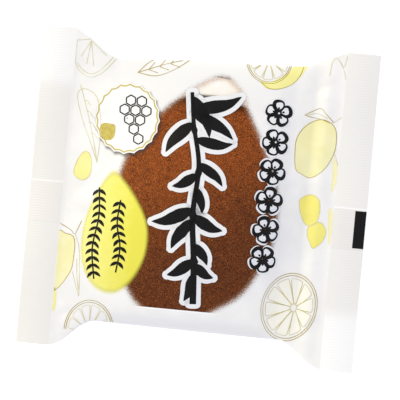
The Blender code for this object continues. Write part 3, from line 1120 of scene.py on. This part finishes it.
class Citrus:
    """Fine line work and pale fills, gathered over the whole wrapper."""

    def __init__(self):
        self.fills = {name: Shapes() for name in CITRUS_FILLS}
        self.lines = {name: Shapes() for name in CITRUS_LINES}

    def line(self, points, closed=False, kind="gold"):
        path = closed_curve(points) if closed else smooth_line(points)
        wave = 1 + LINE_SWELL * np.sin(np.linspace(0, 9, len(path)))
        self.lines[kind].stroke(path, LINE_WIDTH / 2 * wave, closed=closed)

    def faint(self, *paths):
        for points in paths:
            self.line(points, kind="faint")

    def fruit(self, points, fill="pale", kind="gold"):
        """A filled outline, without its line where kind is None."""
        self.fills[fill].blob(closed_curve(points), 14)
        if kind is not None:
            self.line(points, closed=True, kind=kind)

    def leaf(self, base, tip, width, veins):
        base, tip = np.array(base), np.array(tip)
        along = tip - base
        side = np.array([-along[1], along[0]]) / np.linalg.norm(along) * width / 2
        for edge in (side, -side):
            self.line([base, base + along * 0.3 + edge, base + along * 0.65 + edge * 0.8, tip])
        self.line([base, base + along * 0.5 + side * 0.12, tip])
        for k in range(veins):
            start = base + along * (0.2 + 0.6 * k / veins)
            for edge in (side, -side):
                self.line([start, start + along * 0.08 + edge * 0.4, start + along * 0.14 + edge * 0.7])

    def slice(self, centre, radii, angle, segments, sweep=360, hub=(0, 0), kind="fine", filled=True):
        """A cut citrus: a double rind line and the cells round a hub that may lie off centre."""
        whole = sweep == 360
        turn = np.radians(np.linspace(0, sweep, 40, endpoint=not whole))
        ring = np.stack([np.cos(turn), np.sin(turn)], axis=1)
        for scale in RIND_SCALES:
            self.line(turned(ring * scale, centre, angle, radii), closed=whole)
        width = sweep / segments
        for k in range(segments):
            a = np.radians(width * (k + CELL_GAP))
            b = np.radians(width * (k + 1 - CELL_GAP))
            outer = CELL_REACH * np.array([(math.cos(c), math.sin(c)) for c in np.linspace(a, b, 7)])
            inner = CELL_HUB * np.array([math.cos((a + b) / 2), math.sin((a + b) / 2)]) + hub
            ends = outer[[0, -1]] * 0.9 + inner * 0.1
            cell = np.concatenate([[inner], ends[:1], outer[1:-1], ends[1:]])
            cell = turned(cell, centre, angle, radii)
            self.line(cell, closed=True, kind=kind)
            if filled:
                self.fills["cell"].blob(closed_curve(cell), 5)

    def lay(self):
        for name, colours in CITRUS_FILLS.items():
            material = ink(name + "_citrus_ink", *colours, 6 * MM).material
            self.fills[name].lay(name + "_citrus_fill", material, "yellow_ink", FIELD_LIFT, CITRUS_LIMIT)
        for name, colours in CITRUS_LINES.items():
            material = ink(name + "_line_ink", *colours).material
            self.lines[name].lay(name + "_citrus_lines", material, "gold_ink", INK_LIFT, CITRUS_LIMIT)


def right_citrus(art):
    """Lemons with a leaf, a half lemon, a slice, and what runs off at the right seal."""
    art.fruit([
        (43.4, 33.9), (47, 32.8), (49, 30.4), (49.6, 26.5), (49.2, 22), (47, 16.8), (44.3, 13.6),
        (41, 11.7), (37.9, 12.7), (35.2, 14.7), (34.4, 21.6), (34.6, 25.6), (36.2, 29.2), (39.3, 32.3),
    ])
    art.fruit([
        (49, 20), (50.6, 17.9), (51, 14.9), (51, 11.1), (50.2, 8), (49.3, 7.2), (49.3, 13),
    ], kind=None)
    art.fruit([
        (37.9, 3), (39.9, 4.8), (41.9, 5.4), (43.9, 4.9), (45.4, 3), (45.8, -1.4), (44.8, -5.1),
        (42.7, -6.3), (40.6, -5.6), (39, -2.8), (38.1, 0.2),
    ], "bright", "faint")
    art.fruit([
        (42, -7), (43, -6.1), (45.6, -4.6), (47.7, -5.6), (48.8, -8.2), (47.9, -11.6),
        (45.6, -14), (44.3, -14.6), (43.1, -12.4), (42, -10),
    ], "bright", "faint")
    art.fruit([
        (49.2, 0.6), (50.7, -0.3), (51, -5.5), (50.9, -10.9), (50.2, -12.5), (49.5, -6.5),
    ], kind=None)
    art.line([(36.9, 35), (39, 36.3), (42.7, 38), (44.9, 36), (48.1, 33.1)])
    art.line([(36.9, 35), (39.8, 34.4), (43.4, 33.9), (46.4, 32.9)])
    art.faint(
        [(38, 35.1), (41.6, 36), (45.6, 34.4)],
        [(46.4, 32.9), (48.1, 33.3), (50.8, 35.4)],
        [(48.8, 22), (50, 20.1), (51, 17.2)],
        [(44.9, 50.5), (45.5, 55.8), (47.3, 57.3), (49.9, 54.3), (50.9, 58.6)],
        [(47.3, 57.3), (48.8, 55.5), (50.2, 52.6), (51, 49.7)],
    )
    art.slice((37.6, -37.4), (10.4, 12.9), -12, 10, hub=(0.17, 0.02))
    art.slice((21.8, 54.6), (8.6, 9.2), 180, 5, sweep=180, filled=False)
    body = smooth_line([(19, 46), (22.6, 44.7), (27.2, 46.2), (31.4, 49.4), (35, 55), (38, 62)])
    art.fills["soft"].stroke(body, 2.2 * np.sin(np.linspace(0, np.pi, len(body))) ** 0.6, across=5)
    art.line([(19.4, 45.6), (22.7, 43.6), (27, 44), (31.2, 46.2), (33.8, 49.7), (35, 53.4), (35.4, 56)])


def left_citrus(art):
    """A lemon wedge, two leaves, a small lemon, a large one cut off by the seal, and a slice."""
    art.faint(
        [(-50.9, 55), (-51, 50), (-50.6, 46.3), (-48.4, 43.3), (-44.9, 41.8), (-41.2, 43.2),
         (-38, 46.4), (-35.2, 50.2)],
        [(-49.9, 46.6), (-48, 44.4), (-44.9, 43), (-41.8, 44.3), (-38.9, 47.3), (-36.6, 50.4)],
        [(-45.6, 55.6), (-48.9, 49.3)],
        [(-45.6, 55.6), (-46.6, 46.6)],
        [(-45.6, 55.6), (-43.9, 46.1)],
        [(-45.6, 55.6), (-39.2, 50.2)],
        [(-51.3, 55.2), (-45.9, 56.1)],
        [(-47.6, 37.2), (-48.8, 35.5), (-48.6, 32.5), (-45.8, 24.7), (-42.2, 17), (-39.2, 10)],
        [(-47.6, 37.2), (-45, 37), (-41.6, 34.5), (-39.6, 28), (-38.9, 20), (-39.2, 10)],
        [(-48.3, 38.6), (-47.6, 37.2), (-44, 27), (-41, 17), (-39.2, 10)],
        [(-44.9, -17.5), (-43.1, -22.4), (-42, -31.2), (-41.5, -40.3)],
        [(-44.7, -31.5), (-43.4, -35.5), (-41.6, -40.4)],
        [(-43.5, -26.5), (-42.9, -32.8), (-41.8, -38.4)],
    )
    for share in (0.15, 0.3, 0.45, 0.6):
        x, y = -47.6 + 8.4 * share, 37.2 - 27.2 * share
        art.faint([(x, y), (x + 1.5, y - 0.4), (x + 2.6, y - 2.0)])
    art.leaf((-27.1, 45.1), (-7, 52.4), 6.0, 3)
    art.fruit([
        (-47.6, 5.2), (-46.4, 11), (-43.7, 14), (-41.5, 11.2), (-41.4, 5.4), (-44.2, 3),
    ], "soft", "faint")
    art.fruit([
        (-58, -20), (-51.7, -16.6), (-48.7, -17.5), (-45.9, -18.2), (-44.8, -20.8), (-44.7, -24.9),
        (-45.1, -30.4), (-47.1, -34.7), (-49.7, -38.3), (-52.4, -40), (-58, -40),
    ])
    art.fruit([(-51.8, -38.6), (-50.2, -39), (-49.9, -43), (-50.2, -46.6), (-51.8, -46.8)], "soft", None)
    art.line([(-51.1, -13.9), (-47, -15.9), (-45.1, -17.5), (-44.1, -15.3), (-42.9, -12.2)])
    art.slice((-36.6, -53.4), (9.3, 11.7), 0, 6, sweep=180, kind="faint", filled=False)


def citrus_print():
    art = Citrus()
    right_citrus(art)
    left_citrus(art)
    art.lay()


MARK_X = (59.2, HALF_LENGTH / MM - 0.15)
MARK_Y = (-13.2, 0.95)
MARK_STEP = 0.16


def register_mark(dark):
    """The plain black mark on one end seal, which follows its ribs."""
    mark = Shapes()
    x = np.linspace(*MARK_X, 9)
    y = np.arange(*MARK_Y, MARK_STEP)
    mark.grid(np.stack(np.meshgrid(x, y), axis=-1))
    mark.lay("register_mark", dark, "dark_ink", FIELD_LIFT)


# Floor, light and camera

FLOOR_HALF = 1.5
FLOOR_DROP = 0.05 * MM
FLOOR_WHITE = (0.92, 0.92, 0.92)
FLOOR_GLOW = 0.35
STUDIO_COLOUR = (0.909, 0.910, 1.0)
STUDIO_STRENGTH = 0.856
KEY_FROM = (-0.7, 0.35, 0.65)
KEY_SPREAD = math.radians(35)
KEY_STRENGTH = 1.2
KEY_COLOUR = (1.0, 0.92, 0.56)
VIEW_TURN = math.radians(5.3)
VIEW_CENTRE = (0.6 * MM, -0.42 * MM)
VIEW_DISTANCE = 1.6
VIEW_WIDTH = 150.7 * MM
VIEW_PLANE = 13.0 * MM
SENSOR_WIDTH = 36.0


def floor():
    data = bpy.data.meshes.new("floor")
    corners = [(-1, -1), (1, -1), (1, 1), (-1, 1)]
    data.from_pydata([(x * FLOOR_HALF, y * FLOOR_HALF, 0) for x, y in corners], [], [(0, 1, 2, 3)])
    nodes = Nodes("floor_white")
    nodes.set(Base_Color=FLOOR_WHITE, Roughness=0.9)
    nodes.set(Emission_Color=(1, 1, 1), Emission_Strength=FLOOR_GLOW)
    data.materials.append(nodes.material)
    item = new_object("floor", data)
    item.location.z = -FLOOR_DROP


def lights():
    """An even, bright studio, and a warm softbox far away on one side."""
    world = bpy.data.worlds.new("studio")
    world.use_nodes = True
    back = world.node_tree.nodes["Background"]
    back.inputs["Color"].default_value = (*STUDIO_COLOUR, 1)
    back.inputs["Strength"].default_value = STUDIO_STRENGTH
    bpy.context.scene.world = world
    data = bpy.data.lights.new("key", "SUN")
    data.angle = KEY_SPREAD
    data.energy = KEY_STRENGTH
    data.color = KEY_COLOUR
    item = new_object("key", data)
    item.location = KEY_FROM
    item.rotation_euler = (-item.location).to_track_quat("-Z", "Y").to_euler()


def camera():
    data = bpy.data.cameras.new("camera")
    data.sensor_width = SENSOR_WIDTH
    data.lens = SENSOR_WIDTH * (VIEW_DISTANCE - VIEW_PLANE) / VIEW_WIDTH
    item = new_object("camera", data)
    item.location = (*VIEW_CENTRE, VIEW_DISTANCE)
    item.rotation_euler = (0, 0, VIEW_TURN)
    bpy.context.scene.camera = item


def build():
    dark = ink("dark_ink", (12, 12, 11), (6, 6, 6)).material
    white = ink("white_ink", (238, 240, 243), (234, 236, 240), 5 * MM).material
    gold = ink("gold_ink", (211, 195, 102), (198, 179, 86)).material
    film_tube()
    inner_film()
    end_seal(-1, "end_seal_left", seal_film("seal_film_left", -1))
    end_seal(1, "end_seal_right", seal_film("seal_film_right", 1))
    back_seam(plain_film("seam_film"))
    cake()
    ink_sprig(dark, white)
    blossom_column(dark, white)
    badge(dark, gold)
    yellow_field(dark)
    citrus_print()
    register_mark(dark)
    floor()
    lights()
    camera()
    bpy.context.scene.view_settings.view_transform = "Standard"


build()
